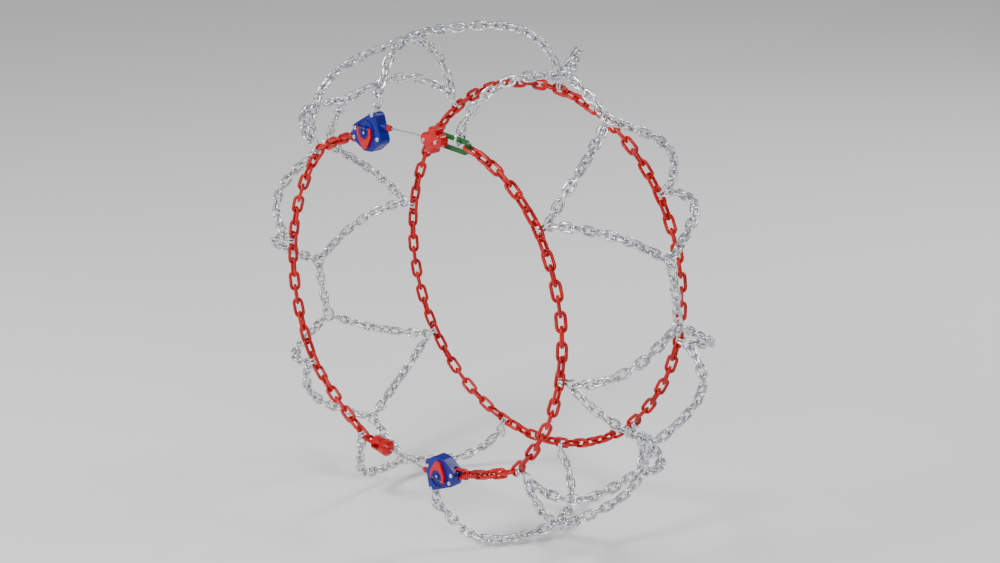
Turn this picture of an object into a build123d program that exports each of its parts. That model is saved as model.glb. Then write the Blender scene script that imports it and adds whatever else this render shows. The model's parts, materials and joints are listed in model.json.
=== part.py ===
"""Tensioned net snow chain for a 32x11.50R15 light-truck tyre, in its fitted shape.

The wheel axis is Y, the outer side of the wheel faces -Y, and Z is up. The origin is the
centre of the wheel. Lengths are in millimetres and wheel angles in degrees, counted from
+X towards +Z. The net lies on a rounded section: two side chains of painted links, and
between them diamonds of plated chain that meet in rings along the middle of the tread.
Two self-tensioning cable ratchets take up the outer side chain.
"""
import os
from dataclasses import dataclass
from math import acos, atan2, ceil, copysign, cos, degrees, hypot, radians, sin

from build123d import *

os.makedirs("parts", exist_ok=True)

# ---- The wheel that the net is sized for -------------------------------------------------
TREAD_RADIUS = 412.0        # net over the middle of the tread
SIDE_RADIUS = 308.0         # the side chains, from the wheel axis
HALF_WIDTH = 137.5          # widest half section of the net
ROOT_RADIUS = 255.0         # where the section is widest
SHOULDER_POWER = 3.8        # squareness of the shoulder: 2 is an ellipse, more is squarer

# ---- Chain -------------------------------------------------------------------------------
GAP = 0.4                   # play between two links
CROSS_WIRE = 4.8            # plated cross chain
CROSS_INNER_LENGTH = 18.0
CROSS_INNER_WIDTH = 7.6
SIDE_WIRE = 5.5             # painted side chain
SIDE_INNER_LENGTH = 24.8
SIDE_INNER_WIDTH = 8.0
RING_WIRE = 5.0             # round rings on the tread
RING_INNER_RADIUS = 8.5
ROLL_STEP = 12.0            # most that one link may turn from square to the last one

# ---- Cross hooks: two prongs round the side chain, and a closed end for the cross chains ---
HOOK_WIRE = 4.2
HOOK_PRONG_HALF = 2.9       # half the distance between the prongs at the side chain
HOOK_END_HALF = 9.3        # the same at the closed end
HOOK_REACH = 24.0           # from the side link's bar to the closed end
HOOK_SINK = 2.5             # the closed end lies this much nearer the tyre than the side chain
HOOK_LEG_OFFSET = 4.5       # cross links sit this far each side of the middle of the closed end

# ---- Ratchets ----------------------------------------------------------------------------
RATCHET_BACK = 140.5        # back of both ratchets, out from the wheel's middle plane
CABLE_LEVEL = 9.5           # the cable and the chain end, out from the back of the ratchet
CABLE_DIAMETER = 2.8
DRUM_RADIUS = 9.2
CABLE_TANGENT = DRUM_RADIUS + CABLE_DIAMETER / 2
BASE_DEPTH = 16.0
COVER_DEPTH = 6.0
BOSS_RADIUS = 9.3
BOSS_HEIGHT = 4.6
CAVITY_RADIUS = 17.6
FLANGE_RADIUS = 16.4
TOOTH_COUNT = 14
AXLE_RADIUS = 3.0
RIVET_RADIUS = 2.4
LEVER_AXIS = (5.6, 24.6)    # height above the hub, and distance out from the back
LEVER_THICKNESS = 4.0


@dataclass
class Diamond:
    """One diamond of the net: two tread rings and the hooks on the two side chains."""

    name: str
    ahead: float            # wheel angle of the ring at its greater angle
    behind: float           # wheel angle of the other ring
    outer: tuple            # hooks on the outer side chain, or () where fittings hold the legs
    inner: tuple            # hooks on the inner side chain, one or two


DIAMONDS = [
    Diamond("top", 100.0, 62.6, (), (81.3,)),
    Diamond("right_high", 49.3, 17.2, (33.2,), (33.2,)),
    Diamond("right", 3.7, -24.0, (-9.4,), (-10.0,)),
    Diamond("right_low", -33.4, -56.8, (-44.3,), (-45.1,)),
    Diamond("bottom", -66.0, -117.4, (), (-79.0, -104.4)),
    Diamond("left_low", -131.0, -159.4, (-147.7,), (-145.2,)),
    Diamond("left", -173.0, -204.3, (-187.0,), (-188.6,)),
    Diamond("left_high", -218.0, -246.4, (-221.0,), (-232.2,)),
]


def save(part, name):
    """Label a finished piece and write it as its own file."""
    part.label = name
    export_step(part, f"parts/{name}.step")


# ---- The shape the net lies on -----------------------------------------------------------
def section_point(lean, side):
    """Across and radius of the section; lean is 0 on the tread and 90 at the widest point."""
    power = 2 / SHOULDER_POWER
    across = HALF_WIDTH * abs(sin(radians(lean))) ** power
    rise = (TREAD_RADIUS - ROOT_RADIUS) * abs(cos(radians(lean))) ** power
    return Vector(side * across, ROOT_RADIUS + rise, 0)


def lean_at(radius):
    """The lean at which the section has this radius."""
    share = (radius - ROOT_RADIUS) / (TREAD_RADIUS - ROOT_RADIUS)
    return degrees(acos(share ** (SHOULDER_POWER / 2)))


def wheel_point(angle, across, radius):
    """Point at a wheel angle, a distance across the wheel and a radius."""
    return Vector(radius * cos(radians(angle)), across, radius * sin(radians(angle)))


def radial(angle):
    """Unit vector away from the wheel axis at a wheel angle."""
    return Vector(cos(radians(angle)), 0, sin(radians(angle)))


def tangent(angle):
    """Unit vector along the wheel's turn, towards greater wheel angles."""
    return Vector(-sin(radians(angle)), 0, cos(radians(angle)))


def surface_normal(point):
    """Outward direction of the tyre at a point of the net."""
    out = Vector(point.X, 0, point.Z).normalized()
    radius = Vector(point.X, 0, point.Z).length
    power = SHOULDER_POWER - 1
    lift = max(radius - ROOT_RADIUS, 0) / (TREAD_RADIUS - ROOT_RADIUS)
    spread = min(abs(point.Y) / HALF_WIDTH, 1.0)
    rise = lift ** power / (TREAD_RADIUS - ROOT_RADIUS)
    slope = copysign(spread ** power / HALF_WIDTH, point.Y)
    return (out * rise + Vector(0, slope, 0)).normalized()


# ---- Links -------------------------------------------------------------------------------
def make_link(wire, inner_length, inner_width):
    """One welded link, long along X and wide along Y."""
    straight = (inner_length - inner_width) / 2
    half = (inner_width + wire) / 2
    with BuildPart() as link:
        with BuildLine() as path:
            Line((-straight, half), (straight, half))
            ThreePointArc((straight, half), (straight + half, 0), (straight, -half))
            Line((straight, -half), (-straight, -half))
            ThreePointArc((-straight, -half), (-straight - half, 0), (-straight, half))
        with BuildSketch(Plane(origin=(0, half, 0), z_dir=(1, 0, 0))):
            Circle(wire / 2)
        sweep(path=path.wire())
    return link.part


cross_link = make_link(CROSS_WIRE, CROSS_INNER_LENGTH, CROSS_INNER_WIDTH)
side_link = make_link(SIDE_WIRE, SIDE_INNER_LENGTH, SIDE_INNER_WIDTH)


def link_place(start, end, normal, roll):
    """Where a link lies whose two contact points are start and end."""
    along = (end - start).normalized()
    upright = (normal - along * normal.dot(along)).normalized()
    sideways = along.cross(upright)
    width = upright * cos(radians(roll)) + sideways * sin(radians(roll))
    return Location(Plane(origin=(start + end) * 0.5, x_dir=along, z_dir=along.cross(width)))


def rolls(count, first, last):
    """Roll of each link: a quarter turn from one to the next, leaning 45 degrees mid-run."""
    turn = (last - first - 90 * (count - 1)) % 180
    if turn > 90:
        turn -= 180
    values = []
    for index in range(count):
        if turn:
            lean = turn * index / (count - 1)
        else:
            lean = min(ROLL_STEP * index, ROLL_STEP * (count - 1 - index), 45)
        values.append(first + 90 * index + lean)
    return values


def run_places(route, pitch, first, last, count=None, normal=surface_normal):
    """Places of a run of links along a route, from its first to its last contact point."""
    if count is None:
        count = ceil(route.length / pitch)
    stops = [route @ (index / count) for index in range(count + 1)]
    turned = rolls(count, first, last)
    return [link_place(stops[i], stops[i + 1], normal((stops[i] + stops[i + 1]) * 0.5), turned[i])
            for i in range(count)]


def chain(link, places, name):
    """A node of one or more runs of the same link."""
    with BuildPart() as node:
        with Locations(*places):
            add(link)
    save(node.part, name)
    return len(places)


# ---- Stations of the net -----------------------------------------------------------------
CROSS_PITCH = CROSS_INNER_LENGTH - GAP
SIDE_PITCH = SIDE_INNER_LENGTH - GAP
SIDE_ACROSS = section_point(lean_at(SIDE_RADIUS), 1).X
RING_CONTACT = RING_INNER_RADIUS - GAP / 2
HOOK_BAR = SIDE_RADIUS + (SIDE_INNER_WIDTH + SIDE_WIRE) / 2     # radius of the gripped bar
LEG_START = HOOK_BAR + HOOK_REACH - HOOK_WIRE / 2 + GAP / 2     # radius where a leg starts
LEG_ACROSS = SIDE_ACROSS - HOOK_SINK


def section_line(side):
    """Half section from the closed end of the hooks to the middle of the tread."""
    top = lean_at(LEG_START)
    with BuildLine():
        half = Spline(*[section_point(top * (1 - step / 12), side) for step in range(13)])
    return half


SECTIONS = {side: section_line(side) for side in (-1, 1)}


def leg_route(start, angle, ring_angle, side):
    """Route of one cross chain from a contact point at a side chain to its tread ring."""
    half = SECTIONS[side]
    turned = radians(ring_angle - angle) * TREAD_RADIUS
    last = 1 - RING_CONTACT / hypot(half.length, turned)
    points = [start]
    for share in (0.14, 0.28, 0.42, 0.56, 0.7, 0.82, 0.92, last):
        spot = half @ share
        points.append(wheel_point(angle + (ring_angle - angle) * share, spot.X, spot.Y))
    with BuildLine():
        route = Spline(*points)
    return route


def leg_from(bar, wire, ring_angle, side, roll=0, aside=1.0):
    """Places of the links of a leg whose first link hangs on a bar, pulled straight."""
    angle = degrees(atan2(bar.Z, bar.X))
    angle = ring_angle + (angle - ring_angle + 180) % 360 - 180
    heading = radial(angle)
    for _ in range(3):
        start = bar - heading * (wire + GAP) / 2
        route = leg_route(start, angle, ring_angle, side)
        pull = route @ (CROSS_PITCH / route.length) - start
        pull -= tangent(angle) * (pull.dot(tangent(angle)) * (1 - aside))
        heading = pull.normalized()
    return run_places(route, CROSS_PITCH, roll, 0)


def hook_leg(hook_angle, ring_angle, side):
    """Places of the links of a leg that starts in a cross hook."""
    reach = HOOK_BAR + HOOK_REACH
    offset = copysign(degrees(HOOK_LEG_OFFSET / reach), ring_angle - hook_angle)
    bar = wheel_point(hook_angle + offset, side * LEG_ACROSS, reach)
    return leg_from(bar, HOOK_WIRE, ring_angle, side, aside=0.0)


def tread_run(first_angle, last_angle):
    """Places of the five or three links between the rings of two diamonds."""
    inset = degrees(RING_CONTACT / TREAD_RADIUS)
    start = wheel_point(first_angle + inset, 0, TREAD_RADIUS)
    end = wheel_point(last_angle - inset, 0, TREAD_RADIUS)
    middle = wheel_point((first_angle + last_angle) / 2, 0, TREAD_RADIUS)
    with BuildLine():
        route = ThreePointArc(start, middle, end)
    count = ceil(route.length / CROSS_PITCH)
    count += 1 - count % 2
    return run_places(route, CROSS_PITCH, 0, 0, count)


def side_arc(first_angle, last_angle, side):
    """Places of the links from one hook link to the next, both left out."""
    arc = radians(last_angle - first_angle) * SIDE_RADIUS
    count = ceil(arc / SIDE_PITCH)
    half = (last_angle - first_angle) / count / 2
    ends = [wheel_point(a, side * SIDE_ACROSS, SIDE_RADIUS)
            for a in (first_angle + half, (first_angle + last_angle) / 2, last_angle - half)]
    with BuildLine():
        route = ThreePointArc(*ends)
    quarter = rolls(count + 1, 90, 90)
    stops = [route @ (i / (count - 1)) for i in range(count)]
    return [link_place(stops[i], stops[i + 1], Vector(0, side, 0), quarter[i + 1])
            for i in range(count - 1)]


def hook_link(angle, side):
    """Place of the side link that a cross hook grips: it lies flat on the tyre's side."""
    centre = wheel_point(angle, side * SIDE_ACROSS, SIDE_RADIUS)
    half = tangent(angle) * (SIDE_PITCH / 2)
    return link_place(centre - half, centre + half, Vector(0, side, 0), 90)


def make_cross_hook():
    """Cross hook: X away from the wheel axis, Z away from the tyre, origin on the gripped bar."""
    curl = SIDE_WIRE / 2 + GAP + HOOK_WIRE / 2
    end, prong = HOOK_END_HALF, HOOK_PRONG_HALF
    half = [(0, prong, -curl), (6, prong, -curl), (14, end, -curl + 1), (HOOK_REACH, end, -HOOK_SINK)]
    corners = half + [(x, -y, z) for x, y, z in reversed(half)]
    with BuildPart() as hook:
        with BuildLine() as path:
            FilletPolyline(*corners, radius=(12, 12, 5.2, 5.2, 12, 12))
            for side in (-1, 1):
                tip = (curl * sin(radians(35)), side * prong, curl * cos(radians(35)))
                ThreePointArc((0, side * prong, -curl), (-curl, side * prong, 0), tip)
        with BuildSketch(Plane(origin=tip, z_dir=(cos(radians(35)), 0, -sin(radians(35))))):
            Circle(HOOK_WIRE / 2)
        sweep(path=path.wire())
    return hook.part


def hook_place(angle, side):
    """Where a cross hook sits on the side chain at a wheel angle."""
    bar = wheel_point(angle, side * SIDE_ACROSS, HOOK_BAR)
    return Location(Plane(origin=bar, x_dir=radial(angle), z_dir=(0, side, 0)))


cross_hook = make_cross_hook()
with BuildPart() as tread_ring:
    Torus(RING_INNER_RADIUS + RING_WIRE / 2, RING_WIRE / 2)


def ring_place(angle):
    """Where a round ring lies on the tread."""
    centre = wheel_point(angle, 0, TREAD_RADIUS)
    return Location(Plane(origin=centre, x_dir=tangent(angle), z_dir=radial(angle)))


# ---- The net -----------------------------------------------------------------------------
for diamond in DIAMONDS:
    rings = (diamond.ahead, diamond.behind)
    if diamond.outer:
        legs = [hook_leg(diamond.outer[0], ring, -1) for ring in rings]
        chain(cross_link, legs[0] + legs[1], f"outer_cross_{diamond.name}")
    legs = [hook_leg(diamond.inner[min(i, len(diamond.inner) - 1)], ring, 1)
            for i, ring in enumerate(rings)]
    chain(cross_link, legs[0] + legs[1], f"inner_cross_{diamond.name}")

ring_angles = [angle for diamond in DIAMONDS for angle in (diamond.ahead, diamond.behind)]
with BuildPart() as tread_rings:
    with Locations(*[ring_place(angle) for angle in ring_angles]):
        add(tread_ring.part)
save(tread_rings.part, "tread_rings")

neighbours = list(zip(DIAMONDS, DIAMONDS[1:] + DIAMONDS[:1]))
run_links = []
for diamond, following in neighbours:
    far = following.ahead if following.ahead < diamond.behind else following.ahead - 360
    run_links += tread_run(far, diamond.behind)
chain(cross_link, run_links, "tread_runs")

outer_hooks = [diamond.outer[0] for diamond in DIAMONDS if diamond.outer]
inner_hooks = [angle for diamond in DIAMONDS for angle in diamond.inner]
with BuildPart() as inner_cross_hooks:
    with Locations(*[hook_place(angle, 1) for angle in inner_hooks]):
        add(cross_hook)
save(inner_cross_hooks.part, "inner_cross_hooks")


# ---- Ratchet, drawn once: X along the cable, Y away from the wheel axis, Z off the tyre -----
BODY_CORNERS = [(19, 36), (-30, 8), (-36, -14), (-6, -31), (12, -30), (34, -13)]
RIVETS = [(15, 29), (-24.5, 3), (-27.5, -11.6), (26.5, -7.5)]
CHAIN_PIN = RIVETS[2]
CHAIN_ANGLE = 204.0         # direction in which the side chain leaves the ratchet
EYE = (14, 40)              # hole of the eye plate
RING_RADIUS = 9.8           # centre line of the ring in the eye plate
EYE_RING_WIRE = 4.6
RING_GRIP = EYE_RING_WIRE + 0.5     # room that a cross link takes round a ring's wire
NOZZLE_ROOT, NOZZLE_END = 24.0, 37.0
PAWL_PIVOT = (11.0, -22.5)
WALL = 3.0


def outline(*corners, level=0.0, radius=8):
    """Closed outline with rounded corners at a level."""
    with BuildSketch(Plane.XY.offset(level)) as sketch:
        with BuildLine():
            Polyline(*corners, close=True)
        make_face()
        fillet(sketch.vertices(), radius)
    return sketch.sketch


def rivet_holes(radius=RIVET_RADIUS + 0.15):
    """Round holes for the four rivets through the open part."""
    with Locations(*RIVETS):
        Cylinder(radius, 100, mode=Mode.SUBTRACT)


def cable_round(radius, start, end, mode=Mode.ADD, end_radius=None):
    """Round or tapered bar along the cable's line between two distances from the hub."""
    middle = (start + end) / 2
    with Locations(Location((middle, CABLE_TANGENT, CABLE_LEVEL), (0, 90, 0))):
        Cone(radius, end_radius or radius - 0.001, end - start, mode=mode)


with BuildPart() as ratchet_base:
    extrude(outline(*BODY_CORNERS), amount=BASE_DEPTH)
    fillet(ratchet_base.faces().sort_by(Axis.Z)[0].edges(), 2)
    cable_round(6.2, NOZZLE_ROOT, NOZZLE_END, end_radius=4.6)
    with BuildSketch(Plane.XY.offset(WALL)):
        Circle(CAVITY_RADIUS)
        with Locations((PAWL_PIVOT[0] - 6, PAWL_PIVOT[1] + 1)):
            SlotOverall(22, 9)
    extrude(amount=BASE_DEPTH, mode=Mode.SUBTRACT)
    cable_round(CABLE_DIAMETER / 2 + 0.6, 0, NOZZLE_END + 1, mode=Mode.SUBTRACT)
    with Locations(Location((*CHAIN_PIN, CABLE_LEVEL), (0, 0, CHAIN_ANGLE))):
        with Locations((14, 0)):
            Box(56, SIDE_INNER_WIDTH + 2 * SIDE_WIRE + 2.6, SIDE_WIRE + 2.0, mode=Mode.SUBTRACT)
    with Locations((EYE[0], 36, CABLE_LEVEL)):
        Box(4.6, 8.4, 9, mode=Mode.SUBTRACT)
    rivet_holes()
    with Locations(PAWL_PIVOT):
        Cylinder(1.65, 100, mode=Mode.SUBTRACT)
    Cylinder(AXLE_RADIUS + 0.15, 100, mode=Mode.SUBTRACT)

with BuildPart() as ratchet_cover:
    extrude(outline(*BODY_CORNERS, level=BASE_DEPTH), amount=COVER_DEPTH)
    fillet(ratchet_cover.faces().sort_by(Axis.Z)[-1].edges(), 2.2)
    with Locations((0, 0, BASE_DEPTH + COVER_DEPTH)):
        Cylinder(19.6, 1.5, align=(Align.CENTER, Align.CENTER, Align.MIN))
        Cylinder(18.0, 1.5, align=(Align.CENTER, Align.CENTER, Align.MIN), mode=Mode.SUBTRACT)
        Cylinder(BOSS_RADIUS, BOSS_HEIGHT, align=(Align.CENTER, Align.CENTER, Align.MIN))
    with Locations((0, 0, BASE_DEPTH + COVER_DEPTH + BOSS_HEIGHT)):
        Cylinder(6.6, 2.4, mode=Mode.SUBTRACT)
        Cylinder(5.0, 2.4)
    with Locations((0, -16, BASE_DEPTH + COVER_DEPTH)):
        Box(46, 20, 4, align=(Align.CENTER, Align.CENTER, Align.MIN), mode=Mode.SUBTRACT)
    with Locations(Location((0, *LEVER_AXIS), (0, 90, 0))):
        Cylinder(1.3, 40, mode=Mode.SUBTRACT)
    rivet_holes()
    with Locations(PAWL_PIVOT):
        Cylinder(1.65, 2 * BASE_DEPTH + 4, mode=Mode.SUBTRACT)
    Cylinder(AXLE_RADIUS + 0.15, 100, mode=Mode.SUBTRACT)

with BuildPart() as ratchet_reel:
    with BuildSketch(Plane.XY.offset(WALL + 0.5)):
        Circle(FLANGE_RADIUS - 2.2)
        with PolarLocations(FLANGE_RADIUS - 2.6, TOOTH_COUNT):
            Triangle(a=5.2, b=3.4, c=5.2)
    extrude(amount=1.6)
    with Locations((0, 0, WALL + 2.0)):
        Cylinder(DRUM_RADIUS, 10.0, align=(Align.CENTER, Align.CENTER, Align.MIN))
    with Locations((0, 0, BASE_DEPTH - 2.1)):
        Cylinder(FLANGE_RADIUS - 1, 1.5, align=(Align.CENTER, Align.CENTER, Align.MIN))
    with Locations((0, 0, WALL + 5)):
        Cylinder(DRUM_RADIUS - 1.4, 20, align=(Align.CENTER, Align.CENTER, Align.MIN), mode=Mode.SUBTRACT)
    Cylinder(AXLE_RADIUS + 0.15, 100, mode=Mode.SUBTRACT)

with BuildPart() as cable_winding:
    for level in (WALL + 3.6, CABLE_LEVEL + 2.9):
        with Locations((0, 0, level)):
            Torus(CABLE_TANGENT + 0.05, CABLE_DIAMETER / 2 - 0.08)

with BuildPart() as spiral_spring:
    for turn in range(3):
        with BuildSketch(Plane.XY.offset(WALL + 5.4)):
            Circle(4.4 + 1.1 * turn)
            Circle(4.0 + 1.1 * turn, mode=Mode.SUBTRACT)
        extrude(amount=6)
    with Locations((5.3, 0, WALL + 8.4)):
        Box(2.4, 0.4, 6)

with BuildPart() as ratchet_pawl:
    with BuildSketch(Plane.XY.offset(WALL + 0.6)):
        with BuildLine():
            Polyline((15.0, -24.4), (15.0, -20.6), (6.0, -19.6), (-2.0, -17.9), (-2.0, -19.6), (4.0, -24.4),
                     close=True)
        make_face()
    extrude(amount=4)
    fillet(ratchet_pawl.edges().filter_by(Axis.Z).group_by(Axis.X)[-1], 1.6)
    with Locations(PAWL_PIVOT):
        Cylinder(1.65, 100, mode=Mode.SUBTRACT)

with BuildPart() as ratchet_pins:
    Cylinder(AXLE_RADIUS, BASE_DEPTH + COVER_DEPTH + BOSS_HEIGHT + 0.4,
             align=(Align.CENTER, Align.CENTER, Align.MIN))
    fillet(ratchet_pins.edges().sort_by(Axis.Z)[-1], 1.2)
    with Locations((*PAWL_PIVOT, 1)):
        Cylinder(1.5, BASE_DEPTH, align=(Align.CENTER, Align.CENTER, Align.MIN))
    with Locations(Location((0, *LEVER_AXIS), (0, 90, 0))):
        Cylinder(1.2, 30)

with BuildPart() as ratchet_rivets:
    with Locations(*RIVETS):
        Cylinder(RIVET_RADIUS, BASE_DEPTH + COVER_DEPTH, align=(Align.CENTER, Align.CENTER, Align.MIN))
    with Locations(*[(x, y, BASE_DEPTH + COVER_DEPTH) for x, y in RIVETS]):
        Cylinder(RIVET_RADIUS + 1.1, 1.5, align=(Align.CENTER, Align.CENTER, Align.MIN))
    fillet(ratchet_rivets.edges().filter_by(GeomType.CIRCLE).group_by(Axis.Z)[-1], 1.2)

with BuildPart() as ratchet_lever:
    with BuildSketch(Plane.XY.offset(LEVER_AXIS[1] - LEVER_THICKNESS / 2)):
        with BuildLine():
            Polyline((-15.4, 7.6), (-15.4, -6), (-4.5, -25.5), (4.5, -25.5), (15.4, -6), (15.4, 7.6),
                     close=True)
        make_face()
        Circle(10.3, mode=Mode.SUBTRACT)
        with Locations((0, 6)):
            Rectangle(20.6, 12, mode=Mode.SUBTRACT)
    extrude(amount=LEVER_THICKNESS)
    fillet(ratchet_lever.edges().filter_by(Axis.Z).group_by(Axis.Y)[0], 3.5)
    fillet(ratchet_lever.edges().filter_by(Axis.X).group_by(Axis.Y)[-1], 1.9)
    with Locations(Location((0, *LEVER_AXIS), (0, 90, 0))):
        Cylinder(1.35, 60, mode=Mode.SUBTRACT)

with BuildPart() as cable_bush:
    with BuildSketch(Plane.XY.offset(CABLE_LEVEL)):
        with BuildLine():
            profile = [(0.1, 1.9), (0.1, 4.2), (2.0, 5.2), (5.2, 5.2), (9.0, 3.2), (9.0, 1.9)]
            Polyline(*[(NOZZLE_END + x, CABLE_TANGENT + y) for x, y in profile], close=True)
        make_face()
    revolve(axis=Axis((0, CABLE_TANGENT, CABLE_LEVEL), (1, 0, 0)))

with BuildPart() as eye_plate:
    with BuildSketch(Plane.YZ.offset(EYE[0] - 2)):
        with Locations((EYE[1] - 3.5, CABLE_LEVEL)):
            Rectangle(7, 8.4)
        with Locations((EYE[1], CABLE_LEVEL)):
            Circle(5.6)
            Circle(3.2, mode=Mode.SUBTRACT)
    extrude(amount=4)

ratchet_pieces = {"base": ratchet_base, "cover": ratchet_cover, "reel": ratchet_reel,
                  "winding": cable_winding, "spiral_spring": spiral_spring, "pawl": ratchet_pawl,
                  "pins": ratchet_pins, "rivets": ratchet_rivets, "lever": ratchet_lever,
                  "cable_bush": cable_bush, "eye_plate": eye_plate}


@dataclass
class Ratchet:
    """One ratchet: its hub in the side view, its cable's direction and the cable's far end."""

    name: str
    hub: tuple
    cable_angle: float
    cable_length: float

    def plane(self, x=0.0, y=0.0, level=0.0):
        """Plane of the ratchet: X along the cable, Y off the wheel axis, Z off the tyre."""
        angle = radians(self.cable_angle)
        along = Vector(cos(angle), 0, sin(angle))
        up = Vector(-sin(angle), 0, cos(angle))
        back = Vector(self.hub[0], -RATCHET_BACK - level, self.hub[1])
        return Plane(origin=back + along * x + up * y, x_dir=along, z_dir=(0, -1, 0))

    def ring_plane(self):
        """Plane of the ring in the eye plate, its Y towards the leg."""
        return self.plane(EYE[0], EYE[1] + RING_RADIUS + 0.3, CABLE_LEVEL)

    def leg_bar(self):
        """Far side of the eye plate's ring, where the cross chain hangs."""
        return self.plane(EYE[0], EYE[1] + 0.3 + 2 * RING_RADIUS, CABLE_LEVEL).origin

    def chain_bar(self):
        """Middle of the rivet that the side chain hangs on."""
        return self.plane(*CHAIN_PIN, CABLE_LEVEL).origin


UPPER = Ratchet("upper", (-85.4, 263.4), 0.0, 132.0)
LOWER = Ratchet("lower", (70.0, -266.0), 174.0, 135.5)

for ratchet in (UPPER, LOWER):
    for name, body in ratchet_pieces.items():
        with BuildPart() as placed:
            with Locations(ratchet.plane().location):
                add(body.part)
        save(placed.part, f"{ratchet.name}_{name}")
    with BuildPart(ratchet.plane()) as cable:
        with Locations(Location((ratchet.cable_length / 2, CABLE_TANGENT, CABLE_LEVEL), (0, 90, 0))):
            Cylinder(CABLE_DIAMETER / 2, ratchet.cable_length)
    save(cable.part, f"{ratchet.name}_cable")

# ---- Coupling at the upper cable: a cross-shaped knob whose peg rides in a slotted link ------
KNOB_X = 145.0              # centre of the knob along the upper cable, from the hub
KNOB_LEVEL = (6.0, 22.0)    # back and front of the knob
KNOB_HALF = (22.5, 20.5)    # half its length along the cable, and across it
PLATE_LEVEL = -1.0          # back of the slotted link
PLATE_THICKNESS = 6.4
PLATE_ANGLE = -5.0
PLATE_LENGTH = 78.0
PLATE_WIDTH = 22.0
SLOT_WIDTH = 10.4
PEG_RADIUS = 4.0

with BuildPart() as knob:
    with BuildSketch(Plane.XY.offset(KNOB_LEVEL[0])):
        SlotOverall(2 * KNOB_HALF[0], 21)
        with Locations(Location((0, 0), -12)):
            RectangleRounded(17, 2 * KNOB_HALF[1], 5)
    extrude(amount=KNOB_LEVEL[1] - KNOB_LEVEL[0])
    fillet(knob.faces().sort_by(Axis.Z)[-1].edges(), 3.0)
    with Locations((0, 0, KNOB_LEVEL[0] - 4.4)):
        Cylinder(PEG_RADIUS, 9.4)
    with Locations((0, 0, PLATE_LEVEL - 1.6)):
        Cylinder(7.5, 2.2)
    with Locations(Location((-KNOB_HALF[0], 0, CABLE_LEVEL), (0, 90, 0))):
        Cylinder(CABLE_DIAMETER / 2 + 0.05, 30, mode=Mode.SUBTRACT)
    with Locations(*[(x, -1, KNOB_LEVEL[1]) for x in (-13, 13)]):
        Cylinder(2.3, 6, mode=Mode.SUBTRACT)

with BuildPart() as knob_rivets:
    with Locations(*[(x, -1, KNOB_LEVEL[1]) for x in (-13, 13)]):
        Cylinder(2.2, 5.8)
        with Locations((0, 0, 0.65)):
            Cylinder(3.0, 1.2)

with BuildPart() as plate:
    with BuildSketch():
        with Locations((PLATE_LENGTH / 2 - PLATE_WIDTH / 2, 0)):
            SlotOverall(PLATE_LENGTH, PLATE_WIDTH)
            SlotOverall(PLATE_LENGTH - PLATE_WIDTH + SLOT_WIDTH, SLOT_WIDTH, mode=Mode.SUBTRACT)
    extrude(amount=PLATE_THICKNESS)

KNOB_PLANE = UPPER.plane(KNOB_X, CABLE_TANGENT)
unturned = UPPER.plane(KNOB_X - 0.4, CABLE_TANGENT, PLATE_LEVEL)
turn = radians(PLATE_ANGLE)
PLATE_PLANE = Plane(origin=unturned.origin, z_dir=unturned.z_dir,
                    x_dir=unturned.x_dir * cos(turn) + unturned.y_dir * sin(turn))

# ---- End of the lower cable: a two-lobed barrel, slotted for the side chain ------------------
CAP_X = 146.0               # middle of the barrel along the lower cable, from the hub
CAP_LENGTH = 40.0
CAP_RADIUS = 13.5
CAP_WAIST = 10.5
FORK_PIN_X = 15.5           # pin in the slotted end of the barrel, beyond its middle
FORK_PIN_RADIUS = 3.0
FORK_GAP = SIDE_WIRE + 1.8
FORK_ROOT = -4.2            # depth of the slot: the first link runs into it as the cable slides

with BuildPart() as cap:
    with BuildSketch():
        with BuildLine():
            half = CAP_LENGTH / 2
            profile = [(-half, 0), (-half, 7.5), (-half + 5, CAP_RADIUS), (-4, CAP_RADIUS), (0, CAP_WAIST),
                       (4, CAP_RADIUS - 1), (half - 5, CAP_RADIUS - 1), (half, 8), (half, 0)]
            FilletPolyline(*profile, radius=2.4, close=False)
            Line(profile[-1], profile[0])
        make_face()
    revolve(axis=Axis.X)
    with Locations((FORK_ROOT, 0, 0)):
        Box(40, FORK_GAP, 40, align=(Align.MIN, Align.CENTER, Align.CENTER), mode=Mode.SUBTRACT)
    with Locations(Location((FORK_PIN_X, 0, 0), (90, 0, 0))):
        Cylinder(FORK_PIN_RADIUS + 0.1, 40, mode=Mode.SUBTRACT)
    with Locations(Location((-half, 0, 0), (0, 90, 0))):
        Cylinder(CABLE_DIAMETER / 2 + 0.05, 22, mode=Mode.SUBTRACT)

with BuildPart() as fork_pin:
    with Locations(Location((FORK_PIN_X, 0, 0), (90, 0, 0))):
        Cylinder(FORK_PIN_RADIUS, 2 * CAP_RADIUS - 4)

CAP_PLANE = LOWER.plane(CAP_X, CABLE_TANGENT, CABLE_LEVEL)

for name, body, plane in (("coupling_knob", knob, KNOB_PLANE), ("knob_rivets", knob_rivets, KNOB_PLANE),
                          ("coupling_link", plate, PLATE_PLANE), ("cable_cap", cap, CAP_PLANE),
                          ("fork_pin", fork_pin, CAP_PLANE)):
    with BuildPart() as placed:
        with Locations(plane.location):
            add(body.part)
    save(placed.part, name)

# ---- Rings and cross chains on the fittings --------------------------------------------------
PLATE_RING_X = 44.0         # ring round the upper bar of the slotted link, from the peg
PLATE_BAR = (PLATE_WIDTH + SLOT_WIDTH) / 4
PLATE_END_BAR = PLATE_LENGTH - PLATE_WIDTH / 2 - (PLATE_WIDTH - SLOT_WIDTH) / 4
PLATE_END_GRIP = 9.2        # room that a side link takes round the square end of the slotted link

with BuildPart() as eye_ring:
    Torus(RING_RADIUS, EYE_RING_WIRE / 2)

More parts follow.
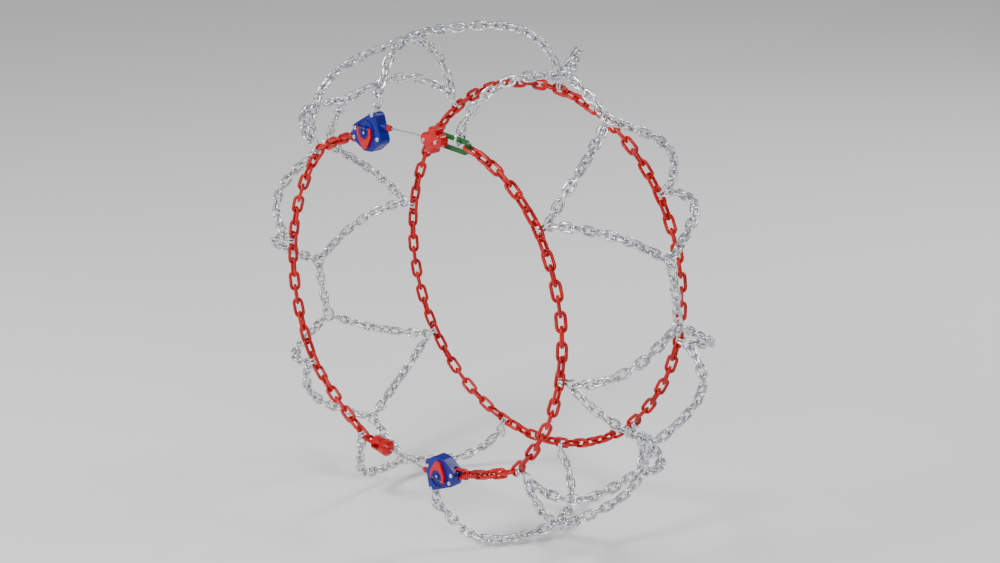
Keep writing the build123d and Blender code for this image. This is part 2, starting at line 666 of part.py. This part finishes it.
plate_ring_centre = PLATE_PLANE.from_local_coords(
    Vector(PLATE_RING_X, PLATE_BAR + 2.7, PLATE_THICKNESS / 2))
ring_out = PLATE_PLANE.y_dir
plate_ring_plane = Plane(origin=plate_ring_centre, x_dir=ring_out, z_dir=PLATE_PLANE.x_dir)
with BuildPart() as fitting_rings:
    with Locations(UPPER.ring_plane().location, LOWER.ring_plane().location, plate_ring_plane.location):
        add(eye_ring.part)
save(fitting_rings.part, "fitting_rings")

chain(cross_link, leg_from(UPPER.leg_bar(), RING_GRIP, 100.0, -1), "outer_cross_top_left")
plate_leg = plate_ring_centre + ring_out * RING_RADIUS
chain(cross_link, leg_from(plate_leg, RING_GRIP, 62.6, -1, 90), "outer_cross_top_right")
chain(cross_link, leg_from(LOWER.leg_bar(), RING_GRIP, -66.0, -1), "outer_cross_bottom_right")

# ---- Side chains -----------------------------------------------------------------------------
def free_run(bar, wire, hook_angle, towards, first, bend, count=None):
    """Side links from a bar of a fitting to a hook link, pulled almost straight.

    The links leave a hook link on its side of greater (1) or smaller (-1) wheel angles.
    """
    centre = wheel_point(hook_angle, -SIDE_ACROSS, SIDE_RADIUS)
    inside = centre + tangent(hook_angle) * (towards * (SIDE_PITCH - SIDE_WIRE - GAP) / 2)
    leaving = arriving = (inside - bar).normalized()
    slack = 0.0             # how far the links at the ends reach past their contact points
    for _ in range(4):
        start = bar - leaving * ((wire + GAP) / 2 - slack)
        end = inside - arriving * ((SIDE_WIRE + GAP) / 2 + slack)
        with BuildLine():
            route = Spline(start, (start + end) * 0.5 + bend, end)
        slack = (SIDE_PITCH - route.length / (count or ceil(route.length / SIDE_PITCH))) / 2
        share = SIDE_PITCH / route.length
        leaving = (route @ share - start).normalized()
        arriving = (end - route @ (1 - share)).normalized()
    return run_places(route, SIDE_PITCH, first, 0, count, normal=lambda point: Vector(0, -1, 0))


chain(side_link, free_run(UPPER.chain_bar(), 2 * RIVET_RADIUS, -221.0, -1, 90, Vector(-2, 0, 3), 6),
      "side_chain_top_left")
chain(side_link, free_run(LOWER.chain_bar(), 2 * RIVET_RADIUS, -44.3, -1, 90, Vector(2, 0, -3), 6),
      "side_chain_bottom_right")
plate_end = PLATE_PLANE.from_local_coords(Vector(PLATE_END_BAR, 0, PLATE_THICKNESS / 2))
chain(side_link, free_run(plate_end, PLATE_END_GRIP, 33.2, 1, 0, radial(50) * 14), "side_chain_top_right")
fork_line = CAP_PLANE.x_dir
fork_start = CAP_PLANE.from_local_coords(Vector(FORK_PIN_X - FORK_PIN_RADIUS - GAP / 2, 0, 0))
fork_end = fork_start + fork_line * SIDE_PITCH
fork_crown = fork_end + fork_line * (SIDE_WIRE + GAP) / 2
fork_run = [link_place(fork_start, fork_end, Vector(0, -1, 0), 0)]
fork_run += free_run(fork_crown, SIDE_WIRE, -147.7, 1, 90, radial(-130) * 6)
chain(side_link, fork_run, "side_chain_bottom_left")
chain(side_link, side_arc(-9.4, 33.2, -1) + side_arc(-44.3, -9.4, -1), "side_chain_right")
chain(side_link, side_arc(-187.0, -147.7, -1) + side_arc(-221.0, -187.0, -1), "side_chain_left")
chain(side_link, [hook_link(angle, -1) for angle in outer_hooks], "outer_hook_links")

ordered = sorted(inner_hooks, reverse=True)
inner_links = [hook_link(angle, 1) for angle in inner_hooks]
for angle, following in zip(ordered, ordered[1:] + [ordered[0] - 360]):
    inner_links += side_arc(following, angle, 1)
chain(side_link, inner_links, "side_chain_inner")

# ---- Outer hooks, one of them on the second link beyond the barrel ---------------------------
gripped = Plane(fork_run[1])
bar_side = copysign(1, gripped.y_dir.dot(gripped.origin))
face_side = copysign(1, gripped.z_dir.dot(Vector(0, -1, 0)))
fork_hook_plane = Plane(
    origin=gripped.origin + gripped.y_dir * (bar_side * (SIDE_INNER_WIDTH + SIDE_WIRE) / 2),
    x_dir=gripped.y_dir * bar_side, z_dir=gripped.z_dir * face_side)
with BuildPart() as outer_cross_hooks:
    with Locations(*[hook_place(angle, -1) for angle in outer_hooks], fork_hook_plane.location):
        add(cross_hook)
save(outer_cross_hooks.part, "outer_cross_hooks")

fork_leg = fork_hook_plane.from_local_coords(Vector(HOOK_REACH, 0, -HOOK_SINK))
chain(cross_link, leg_from(fork_leg, HOOK_WIRE, -117.4, -1), "outer_cross_bottom_left")
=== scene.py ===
"""Looks of a tensioned net snow chain: plated net, painted side chains and cable ratchets."""
import json
import logging
import math
from dataclasses import dataclass, field
from enum import Enum

import bmesh
import bpy
import numpy as np
from mathutils import Matrix, Quaternion, Vector


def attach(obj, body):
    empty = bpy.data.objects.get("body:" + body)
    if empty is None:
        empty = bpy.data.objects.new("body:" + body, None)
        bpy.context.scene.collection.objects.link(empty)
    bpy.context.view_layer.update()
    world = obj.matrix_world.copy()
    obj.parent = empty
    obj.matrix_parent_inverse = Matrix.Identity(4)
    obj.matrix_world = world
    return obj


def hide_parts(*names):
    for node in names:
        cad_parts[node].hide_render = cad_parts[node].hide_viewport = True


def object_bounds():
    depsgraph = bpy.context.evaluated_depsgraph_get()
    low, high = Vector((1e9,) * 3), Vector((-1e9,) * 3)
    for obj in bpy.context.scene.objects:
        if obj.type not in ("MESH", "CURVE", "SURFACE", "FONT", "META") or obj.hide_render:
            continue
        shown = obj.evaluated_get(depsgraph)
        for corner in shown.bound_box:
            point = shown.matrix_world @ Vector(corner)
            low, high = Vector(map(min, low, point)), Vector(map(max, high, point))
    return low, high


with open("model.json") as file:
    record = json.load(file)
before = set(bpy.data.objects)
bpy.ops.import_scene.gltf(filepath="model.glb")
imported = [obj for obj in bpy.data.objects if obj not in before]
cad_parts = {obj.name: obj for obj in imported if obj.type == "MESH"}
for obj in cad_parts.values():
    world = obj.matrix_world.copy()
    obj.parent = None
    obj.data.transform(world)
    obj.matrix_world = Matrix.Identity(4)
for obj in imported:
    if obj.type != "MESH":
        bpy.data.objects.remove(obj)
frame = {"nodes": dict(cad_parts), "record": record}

CAD_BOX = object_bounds()
SLOTS = {row["node"]: row["material_slot"] for row in frame["record"]["subparts"]}
MM = 0.001
MERGE_DISTANCE = 1e-6
FLOOR_GAP = 0.002
log = logging.getLogger("snow_chain")


# ---- Helpers ---------------------------------------------------------------------------------
def linear(hex_colour: str) -> tuple[float, float, float, float]:
    """Turn an sRGB hex colour into linear RGBA.

    Args:
        hex_colour: Colour such as "#A0B1C2".

    Returns:
        The linear colour with full alpha.
    """
    parts = [int(hex_colour[i:i + 2], 16) / 255 for i in (1, 3, 5)]
    return (*[p / 12.92 if p <= 0.04045 else ((p + 0.055) / 1.055) ** 2.4 for p in parts], 1.0)


def add_node(tree: bpy.types.NodeTree, kind: str, settings: dict | None = None,
             links: dict | None = None) -> bpy.types.Node:
    """Add one node to a material.

    Args:
        tree: The material's node tree.
        kind: Type name of the node.
        settings: Attribute names, or input sockets by name or number, with their values.
        links: Input sockets by name or number, with the sockets that feed them.

    Returns:
        The new node.
    """
    node = tree.nodes.new(kind)
    for key, value in (settings or {}).items():
        if isinstance(key, str) and hasattr(node, key):
            setattr(node, key, value)
        else:
            node.inputs[key].default_value = value
    for key, socket in (links or {}).items():
        tree.links.new(socket, node.inputs[key])
    return node


def add_ramp(tree: bpy.types.NodeTree, socket: bpy.types.NodeSocket,
             stops: list[tuple[float, tuple]]) -> bpy.types.NodeSocket:
    """Add a colour ramp fed by a socket.

    Args:
        tree: The material's node tree.
        socket: What drives the ramp.
        stops: Positions with linear colours, in order.

    Returns:
        The ramp's colour output.
    """
    node = add_node(tree, "ShaderNodeValToRGB", links={0: socket})
    ramp = node.color_ramp
    ramp.elements[0].position, ramp.elements[0].color = stops[0]
    ramp.elements[1].position, ramp.elements[1].color = stops[-1]
    for position, colour in stops[1:-1]:
        ramp.elements.new(position).color = colour
    return node.outputs["Color"]


def grey(value: float) -> tuple[float, float, float, float]:
    """Linear grey of a value between 0 and 1."""
    return (value, value, value, 1.0)


# ---- Finishes --------------------------------------------------------------------------------
@dataclass(frozen=True)
class ZincPlate:
    """Bright electro-zinc on welded steel chain: pale, slightly mottled, dull in the grain."""

    name: str
    bright: str = "#EEF0F3"
    dull: str = "#8E9298"
    spangle_mm: float = 7.0
    grain_mm: float = 1.2
    roughness: float = 0.22

    def build(self) -> bpy.types.Material:
        """Build the material."""
        material = bpy.data.materials.new(self.name)
        material.use_nodes = True
        tree = material.node_tree
        shader = tree.nodes["Principled BSDF"]
        place = add_node(tree, "ShaderNodeTexCoord").outputs["Object"]
        mottle = add_node(tree, "ShaderNodeTexNoise",
                          {"Scale": 1 / (self.spangle_mm * MM), "Detail": 5.0, "Roughness": 0.62},
                          {"Vector": place})
        # Zinc crystals a millimetre wide, drawn coarser than the real ones so that they show.
        grain = add_node(tree, "ShaderNodeTexVoronoi", {"Scale": 1 / (self.grain_mm * MM)},
                         {"Vector": place})
        colour = add_ramp(tree, mottle.outputs["Fac"],
                          [(0.32, linear(self.dull)), (0.58, linear(self.bright)), (1.0, grey(0.95))])
        rough = add_ramp(tree, mottle.outputs["Fac"],
                         [(0.3, grey(self.roughness + 0.16)), (0.7, grey(self.roughness - 0.05))])
        bump = add_node(tree, "ShaderNodeBump", {"Strength": 0.12, "Distance": 0.0002},
                        {"Height": grain.outputs["Distance"]})
        tree.links.new(colour, shader.inputs["Base Color"])
        tree.links.new(rough, shader.inputs["Roughness"])
        tree.links.new(bump.outputs["Normal"], shader.inputs["Normal"])
        shader.inputs["Metallic"].default_value = 0.92
        return material


@dataclass(frozen=True)
class ChainEnamel:
    """Enamel dipped over steel: glossy and thick, thin and dusty where links have rubbed."""

    name: str
    colour: str
    shade: str
    worn: str = "#8C8680"
    cloud_mm: float = 22.0
    wear_mm: float = 9.0
    peel_mm: float = 2.5
    wear_share: float = 0.76

    def build(self) -> bpy.types.Material:
        """Build the material."""
        material = bpy.data.materials.new(self.name)
        material.use_nodes = True
        tree = material.node_tree
        shader = tree.nodes["Principled BSDF"]
        place = add_node(tree, "ShaderNodeTexCoord").outputs["Object"]
        cloud = add_node(tree, "ShaderNodeTexNoise", {"Scale": 1 / (self.cloud_mm * MM), "Detail": 4.0},
                         {"Vector": place})
        chips = add_node(tree, "ShaderNodeTexNoise",
                         {"Scale": 1 / (self.wear_mm * MM), "Detail": 9.0, "Roughness": 0.7},
                         {"Vector": place})
        paint = add_ramp(tree, cloud.outputs["Fac"],
                         [(0.3, linear(self.shade)), (0.65, linear(self.colour))])
        bare = add_ramp(tree, chips.outputs["Fac"],
                        [(self.wear_share - 0.025, grey(0.0)), (self.wear_share, grey(1.0))])
        colour = add_node(tree, "ShaderNodeMix",
                          {"data_type": "RGBA", 7: linear(self.worn)}, {0: bare, 6: paint})
        rough = add_ramp(tree, chips.outputs["Fac"],
                         [(0.3, grey(0.26)), (self.wear_share, grey(0.45)), (0.9, grey(0.5))])
        metal = add_node(tree, "ShaderNodeMath", {"operation": "MULTIPLY", 1: 0.9}, {0: bare})
        peel = add_node(tree, "ShaderNodeTexNoise", {"Scale": 1 / (self.peel_mm * MM), "Detail": 2.0},
                        {"Vector": place})
        bump = add_node(tree, "ShaderNodeBump", {"Strength": 0.16, "Distance": 0.0003},
                        {"Height": peel.outputs["Fac"]})
        tree.links.new(colour.outputs[2], shader.inputs["Base Color"])
        tree.links.new(rough, shader.inputs["Roughness"])
        tree.links.new(metal.outputs[0], shader.inputs["Metallic"])
        tree.links.new(bump.outputs["Normal"], shader.inputs["Normal"])
        shader.inputs["Specular IOR Level"].default_value = 0.3
        shader.inputs["Coat Weight"].default_value = 0.06
        shader.inputs["Coat Roughness"].default_value = 0.12
        return material


@dataclass(frozen=True)
class Moulding:
    """Glass-filled nylon, injection moulded: even colour, fine spark texture, soft highlights."""

    name: str
    colour: str
    shade: str
    roughness: float = 0.32
    flow_mm: float = 16.0
    texture_mm: float = 0.9

    def build(self) -> bpy.types.Material:
        """Build the material."""
        material = bpy.data.materials.new(self.name)
        material.use_nodes = True
        tree = material.node_tree
        shader = tree.nodes["Principled BSDF"]
        place = add_node(tree, "ShaderNodeTexCoord").outputs["Object"]
        flow = add_node(tree, "ShaderNodeTexNoise",
                        {"Scale": 1 / (self.flow_mm * MM), "Detail": 6.0, "Distortion": 0.6},
                        {"Vector": place})
        spark = add_node(tree, "ShaderNodeTexNoise",
                         {"Scale": 1 / (self.texture_mm * MM), "Detail": 2.0}, {"Vector": place})
        colour = add_ramp(tree, flow.outputs["Fac"],
                          [(0.3, linear(self.shade)), (0.6, linear(self.colour))])
        rough = add_ramp(tree, flow.outputs["Fac"],
                         [(0.35, grey(self.roughness + 0.12)), (0.7, grey(self.roughness))])
        bump = add_node(tree, "ShaderNodeBump", {"Strength": 0.1, "Distance": 0.0002},
                        {"Height": spark.outputs["Fac"]})
        tree.links.new(colour, shader.inputs["Base Color"])
        tree.links.new(rough, shader.inputs["Roughness"])
        tree.links.new(bump.outputs["Normal"], shader.inputs["Normal"])
        shader.inputs["Specular IOR Level"].default_value = 0.3
        shader.inputs["Coat Weight"].default_value = 0.08
        shader.inputs["Coat Roughness"].default_value = 0.1
        return material


@dataclass(frozen=True)
class BareSteel:
    """Turned or drawn steel: metallic, with fine scratches along the wire or round the pin."""

    name: str
    colour: str
    shade: str
    roughness: float = 0.3
    scratches_per_metre: tuple = (60.0, 900.0, 900.0)

    def build(self) -> bpy.types.Material:
        """Build the material."""
        material = bpy.data.materials.new(self.name)
        material.use_nodes = True
        tree = material.node_tree
        shader = tree.nodes["Principled BSDF"]
        place = add_node(tree, "ShaderNodeTexCoord").outputs["Object"]
        drawn = add_node(tree, "ShaderNodeMapping", {"Scale": self.scratches_per_metre},
                         {"Vector": place})
        streak = add_node(tree, "ShaderNodeTexNoise", {"Scale": 1.0, "Detail": 4.0},
                          {"Vector": drawn.outputs[0]})
        colour = add_ramp(tree, streak.outputs["Fac"],
                          [(0.35, linear(self.shade)), (0.65, linear(self.colour))])
        rough = add_ramp(tree, streak.outputs["Fac"],
                         [(0.3, grey(self.roughness + 0.12)), (0.7, grey(self.roughness - 0.06))])
        bump = add_node(tree, "ShaderNodeBump", {"Strength": 0.06, "Distance": 0.0001},
                        {"Height": streak.outputs["Fac"]})
        tree.links.new(colour, shader.inputs["Base Color"])
        tree.links.new(rough, shader.inputs["Roughness"])
        tree.links.new(bump.outputs["Normal"], shader.inputs["Normal"])
        shader.inputs["Metallic"].default_value = 1.0
        return material


class Finish(Enum):
    """The finishes of the set, each under its slot's name."""

    # Electro-zinc shines pale and cold; bent hooks and rings are smoother than welded links.
    ZINC_CHAIN = ZincPlate("zinc_plated_chain")
    ZINC_HOOK = ZincPlate("zinc_plated_hook", bright="#E2E4E8", dull="#A4A8AE", roughness=0.3)
    ZINC_RING = ZincPlate("zinc_plated_ring", bright="#EDEFF2", dull="#B2B6BC", roughness=0.24)
    # Dipped enamel is saturated and wet-looking, with darker runs and grey steel at rubbed spots.
    RED_CHAIN = ChainEnamel("red_chain_enamel", "#C8040A", "#9C0206", wear_share=0.8)
    # Filled nylon is even and half matt; acetal parts come out of the mould smoother and shinier.
    BLUE_HOUSING = Moulding("blue_glass_filled_nylon", "#080F88", "#060B68")
    RED_LEVER = Moulding("red_acetal_lever", "#C80010", "#A2000C", roughness=0.22)
    RED_BUSH = Moulding("red_acetal_bush", "#C80210", "#A2020C", roughness=0.25)
    RED_FITTING = Moulding("red_acetal_fitting", "#C8000E", "#9C000A", roughness=0.16)
    # Galvanised rope glints in thin streaks between its dark lays.
    STEEL_CABLE = BareSteel("galvanised_wire_rope", "#D4D2CC", "#8E8C86", roughness=0.34)
    # The works inside the housing: matt black nylon, blue-grey spring steel, bright pins.
    BLACK_REEL = Moulding("black_nylon_reel", "#1D1E20", "#121315", roughness=0.45)
    SPRING_STEEL = BareSteel("blued_spring_steel", "#5A6274", "#363C48", roughness=0.28)
    BRIGHT_STEEL = BareSteel("bright_zinc_steel", "#E6E7EA", "#B4B6BA", roughness=0.22)
    # The one green link has the same enamel as the side chains.
    GREEN_LINK = ChainEnamel("green_link_enamel", "#066426", "#044A1C", wear_share=0.8)


@dataclass
class Workshop:
    """Makes each finish once and dresses nodes and pieces with it."""

    made: dict = field(default_factory=dict)

    def material(self, finish: Finish) -> bpy.types.Material:
        """Give the material of a finish, built at its first use.

        Args:
            finish: The finish that is wanted.

        Returns:
            Its material, the same one each time.
        """
        if finish not in self.made:
            self.made[finish] = finish.value.build()
        return self.made[finish]

    def dress(self, obj: bpy.types.Object, finish: Finish) -> None:
        """Give an object one finish all over.

        Args:
            obj: The object, whose other materials are cleared.
            finish: The finish that it gets.
        """
        obj.data.materials.clear()
        obj.data.materials.append(self.material(finish))

    def carried_nodes(self) -> None:
        """Dress every node of the frame with the finish that its slot names."""
        for name, node in frame["nodes"].items():
            self.dress(node, Finish[SLOTS[name].upper()])

    def finish_piece(self, piece: bpy.types.Object, body: str, *nodes: str) -> None:
        """Dress a new piece, let it ride on its body and stand for its nodes.

        Args:
            piece: The new piece, in place.
            body: Name of the body it moves with.
            nodes: Nodes of the frame that it replaces; it takes the slot of the first.
        """
        self.dress(piece, Finish[SLOTS[nodes[0]].upper()])
        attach(piece, body)
        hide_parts(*nodes)
        log.info("%s: %d faces", piece.name, len(piece.data.polygons))


# ---- Chains ----------------------------------------------------------------------------------
def piece_from(bm: bmesh.types.BMesh, name: str) -> bpy.types.Object:
    """Turn a finished mesh into a smooth object of the scene, its origin at the frame's.

    Args:
        bm: The mesh; it is freed.
        name: Name of the new piece.

    Returns:
        The object.
    """
    mesh = bpy.data.meshes.new(name)
    bm.to_mesh(mesh)
    bm.free()
    for polygon in mesh.polygons:
        polygon.use_smooth = True
    piece = bpy.data.objects.new(name, mesh)
    bpy.context.scene.collection.objects.link(piece)
    return piece


@dataclass
class WeldedLink:
    """One welded link, in millimetres: long along X, wide along Y, its weld on one side."""

    wire: float
    inner_length: float
    inner_width: float
    round_steps: int = 8
    crown_steps: int = 6
    weld_rise: float = 0.3
    weld_half: float = 1.8
    measuring_slack: float = 0.25

    def mesh(self) -> bpy.types.Mesh:
        """Sweep the wire round the link and raise the weld."""
        # The corners of the few-sided wire stand out by as much as its flats fall in.
        radius = self.wire / (1 + math.cos(math.pi / self.round_steps)) * MM
        half = (self.inner_width + self.wire) / 2 * MM
        straight = (self.inner_length - self.inner_width) / 2 * MM
        bm = bmesh.new()
        start = Matrix.Translation((-straight, half, 0)) @ Matrix.Rotation(math.pi / 2, 4, "Y")
        ring = bmesh.ops.create_circle(bm, segments=self.round_steps, radius=radius, matrix=start)
        edges = list({edge for vert in ring["verts"] for edge in vert.link_edges})
        weld = self.weld_half * MM
        for centre, steps in ((straight, (straight - weld, weld, weld, straight - weld)),
                              (-straight, (-2 * straight,))):
            for step in steps:
                edges = self.pull(bm, edges, step)
            spun = bmesh.ops.spin(bm, geom=edges, cent=(centre, 0, 0), axis=(0, 0, 1),
                                  angle=-math.pi, steps=self.crown_steps)
            edges = [part for part in spun["geom_last"] if isinstance(part, bmesh.types.BMEdge)]
        bmesh.ops.remove_doubles(bm, verts=bm.verts, dist=MERGE_DISTANCE)
        bmesh.ops.recalc_face_normals(bm, faces=bm.faces)
        for vert in bm.verts:
            if vert.co.y > 0 and abs(vert.co.x) < weld / 2:
                swell = 1 + self.weld_rise * MM / radius
                vert.co.y = half + (vert.co.y - half) * swell
                vert.co.z *= swell
        mesh = bpy.data.meshes.new("link")
        bm.to_mesh(mesh)
        bm.free()
        return mesh

    @staticmethod
    def pull(bm: bmesh.types.BMesh, edges: list, step: float) -> list:
        """Extrude the wire's open end along X.

        Args:
            bm: The link's mesh.
            edges: Edges of the open end.
            step: Length of the step, in metres.

        Returns:
            Edges of the new end.
        """
        pulled = bmesh.ops.extrude_edge_only(bm, edges=edges)["geom"]
        verts = {part for part in pulled if isinstance(part, bmesh.types.BMVert)}
        bmesh.ops.translate(bm, vec=(step, 0, 0), verts=list(verts))
        return [part for part in pulled if isinstance(part, bmesh.types.BMEdge)
                and part.verts[0] in verts and part.verts[1] in verts]


@dataclass
class ChainSet:
    """Every run of one size of chain, laid where the frame has its links."""

    link: WeldedLink
    nodes: list

    def build(self, workshop: Workshop) -> None:
        """Build one piece for each node of the set."""
        pattern = self.link.mesh()
        for name in self.nodes:
            bm = bmesh.new()
            for place in self.places(name):
                known = len(bm.verts)
                bm.from_mesh(pattern)
                bm.verts.ensure_lookup_table()
                bmesh.ops.transform(bm, matrix=place, verts=bm.verts[known:])
            self.keep_in_box(bm)
            workshop.finish_piece(piece_from(bm, f"{name}_links"), "root", name)
        bpy.data.meshes.remove(pattern)

    def places(self, name: str) -> list[Matrix]:
        """Find the place and turn of every link of a node, each an island of its mesh.

        Args:
            name: Name of the node.

        Returns:
            One matrix for each link.
        """
        mesh = frame["nodes"][name].data
        points = np.empty(len(mesh.vertices) * 3)
        mesh.vertices.foreach_get("co", points)
        ends = np.empty(len(mesh.edges) * 2, dtype=np.int64)
        mesh.edges.foreach_get("vertices", ends)
        cells = np.round(points.reshape(-1, 3) / (2 * MERGE_DISTANCE))
        _, same = np.unique(cells, axis=0, return_inverse=True)
        same = same.reshape(-1)
        ends = same[ends.reshape(-1, 2)]
        label = np.arange(same.max() + 1)
        while True:
            low = np.minimum(label[ends[:, 0]], label[ends[:, 1]])
            before = label.copy()
            np.minimum.at(label, ends[:, 0], low)
            np.minimum.at(label, ends[:, 1], low)
            label = label[label]
            if (label == before).all():
                break
        groups = label[same]
        places = []
        for group in np.unique(groups):
            cloud = np.unique(np.round(points.reshape(-1, 3)[groups == group], 7), axis=0)
            places.append(self.fit(cloud))
        return places

    def fit(self, cloud: np.ndarray) -> Matrix:
        """Place of one link from the points on it.

        Args:
            cloud: Points on the link's surface.

        Returns:
            The link's matrix, X along it and Y across it.
        """
        _, _, axes = np.linalg.svd(cloud - cloud.mean(0), full_matrices=False)
        along, across = axes[0], axes[1]
        turn = np.array([along, across, np.cross(along, across)])
        spread = cloud @ turn.T
        size = spread.max(0) - spread.min(0)
        true = np.array([self.link.inner_length + 2 * self.link.wire,
                         self.link.inner_width + 2 * self.link.wire, self.link.wire]) * MM
        if np.abs(size - true).max() > self.link.measuring_slack * MM:
            log.warning("a link measures %s instead of %s", size / MM, true / MM)
        centre = turn.T @ ((spread.max(0) + spread.min(0)) / 2)
        matrix = Matrix.Identity(4)
        for row in range(3):
            matrix[row][:3] = turn[:, row]
            matrix[row][3] = centre[row]
        return matrix

    @staticmethod
    def keep_in_box(bm: bmesh.types.BMesh) -> None:
        """Flatten the few welds that would stand proud of the whole net's box."""
        low, high = CAD_BOX
        for vert in bm.verts:
            for axis in range(3):
                vert.co[axis] = min(max(vert.co[axis], low[axis]), high[axis])


# ---- Ratchets and cables ---------------------------------------------------------------------
@dataclass
class WireRope:
    """Six strands laid round a core, with the cable's own line, in millimetres."""

    name: str
    strands: int = 6
    lay_length: float = 11.0
    steps_per_lay: int = 20
    round_steps: int = 8
    least_steps: int = 8
    strand_swell: float = 1.02

    def build(self, workshop: Workshop) -> None:
        """Lay the strands from the middle of the reel to the far end."""
        node = f"{self.name}_cable"
        start, end, radius = self.line(node)
        along = end - start
        aside = along.cross(Vector((0, 1, 0))).normalized()
        wire = radius / 3
        turns = along.length / (self.lay_length * MM)
        steps = max(int(turns * self.steps_per_lay), self.least_steps)
        bm = bmesh.new()
        for strand in range(self.strands + 1):
            reach = 0.0 if strand == self.strands else radius - wire
            turn = math.tau * strand / self.strands
            offset = aside * reach
            offset.rotate(Quaternion(along.normalized(), turn))
            facing = (along.normalized().to_track_quat("Z", "Y")).to_matrix().to_4x4()
            place = Matrix.Translation(start + offset) @ facing
            ring = bmesh.ops.create_circle(bm, segments=self.round_steps, cap_ends=False,
                                           radius=wire * self.strand_swell, matrix=place)
            edges = list({edge for vert in ring["verts"] for edge in vert.link_edges})
            bmesh.ops.spin(bm, geom=edges, cent=start, axis=along.normalized(),
                           dvec=along / steps, angle=math.tau * turns, steps=steps)
        bmesh.ops.holes_fill(bm, edges=[edge for edge in bm.edges if edge.is_boundary])
        bmesh.ops.recalc_face_normals(bm, faces=bm.faces)
        workshop.finish_piece(piece_from(bm, f"{self.name}_wire_rope"), f"{self.name}_cable_body", node)

    @staticmethod
    def line(node: str) -> tuple[Vector, Vector, float]:
        """Measure a straight cable of the frame.

        Args:
            node: Name of the cable's node.

        Returns:
            Its start, its end and its radius, in metres.
        """
        points = np.empty(len(frame["nodes"][node].data.vertices) * 3)
        frame["nodes"][node].data.vertices.foreach_get("co", points)
        points = points.reshape(-1, 3)
        middle = (points.max(0) + points.min(0)) / 2
        _, _, axes = np.linalg.svd(points - middle, full_matrices=False)
        spread = (points - middle) @ axes.T
        # The ends stop just short of the cable's own, so that no strand stands proud of it.
        reach = (spread[:, 0].max() - spread[:, 0].min()) / 2 - 0.02 * MM
        radius = (spread[:, 1].max() - spread[:, 1].min()) / 2
        along = Vector(axes[0]) * reach
        return Vector(middle) - along, Vector(middle) + along, radius


# ---- Studio ----------------------------------------------------------------------------------
@dataclass
class Studio:
    """Camera, pale floor and soft lights."""

    camera_place: tuple = (1.9634, -1.9423, 0.8845)
    azimuth: float = 44.63
    elevation: float = 17.70
    lens_mm: float = 64.41
    floor_size: float = 30.0

    def build(self) -> None:
        """Set up the whole studio."""
        self.camera()
        self.floor()
        self.light("key", (-1.0, -3.2, 2.6), 1.3, 150.0)
        self.light("fill", (3.6, -1.4, 1.4), 1.0, 50.0)
        self.light("rim", (0.8, 3.0, 2.8), 1.2, 70.0)
        world = bpy.data.worlds.new("studio")
        bpy.context.scene.world = world
        world.use_nodes = True
        tree = world.node_tree
        height = add_node(tree, "ShaderNodeSeparateXYZ",
                          links={0: add_node(tree, "ShaderNodeTexCoord").outputs["Generated"]})
        dome = add_ramp(tree, height.outputs["Z"], [(0.0, grey(0.12)), (0.3, grey(0.5)), (1.0, grey(1.0))])
        tree.links.new(dome, tree.nodes["Background"].inputs["Color"])
        tree.nodes["Background"].inputs["Strength"].default_value = 0.6

    def camera(self) -> None:
        """Place the camera at the three-quarter view from the outer side."""
        azimuth, elevation = math.radians(self.azimuth), math.radians(self.elevation)
        back = Vector((math.sin(azimuth) * math.cos(elevation),
                       -math.cos(azimuth) * math.cos(elevation), math.sin(elevation)))
        data = bpy.data.cameras.new("camera")
        data.lens, data.sensor_width = self.lens_mm, 36.0
        camera = bpy.data.objects.new("camera", data)
        camera.rotation_euler = (-back).to_track_quat("-Z", "Y").to_euler()
        camera.location = self.camera_place
        bpy.context.scene.collection.objects.link(camera)
        bpy.context.scene.camera = camera

    def floor(self) -> None:
        """Lay a plain pale floor under the net."""
        mesh = bpy.data.meshes.new("floor")
        bm = bmesh.new()
        bmesh.ops.create_grid(bm, x_segments=1, y_segments=1, size=self.floor_size / 2)
        bm.to_mesh(mesh)
        bm.free()
        floor = bpy.data.objects.new("floor", mesh)
        floor.location.z = CAD_BOX[0][2] - FLOOR_GAP
        material = bpy.data.materials.new("pale_floor")
        material.use_nodes = True
        shader = material.node_tree.nodes["Principled BSDF"]
        shader.inputs["Base Color"].default_value = linear("#F4F4F4")
        shader.inputs["Roughness"].default_value = 0.9
        mesh.materials.append(material)
        bpy.context.scene.collection.objects.link(floor)

    def light(self, name: str, place: tuple, size: float, power: float) -> None:
        """Hang one square softbox that points at the wheel's centre.

        Args:
            name: Name of the light.
            place: Where it hangs, in metres.
            size: Side of the softbox, in metres.
            power: Radiant power, in watts.
        """
        data = bpy.data.lights.new(name, "AREA")
        data.energy, data.size = power, size
        light = bpy.data.objects.new(name, data)
        light.location = place
        light.rotation_euler = (-Vector(place)).to_track_quat("-Z", "Y").to_euler()
        bpy.context.scene.collection.objects.link(light)


def main() -> None:
    """Build the set's looks in order."""
    logging.basicConfig(level=logging.INFO)
    Studio().build()
    workshop = Workshop()
    workshop.carried_nodes()
    net_link = WeldedLink(wire=4.8, inner_length=18.0, inner_width=7.6)
    side_link = WeldedLink(wire=5.5, inner_length=24.8, inner_width=8.0)
    for link, slot in ((net_link, "zinc_chain"), (side_link, "red_chain")):
        ChainSet(link, [name for name, own in SLOTS.items() if own == slot]).build(workshop)
    for name in ("upper", "lower"):
        WireRope(name).build(workshop)


if __name__ == "__main__":
    main()
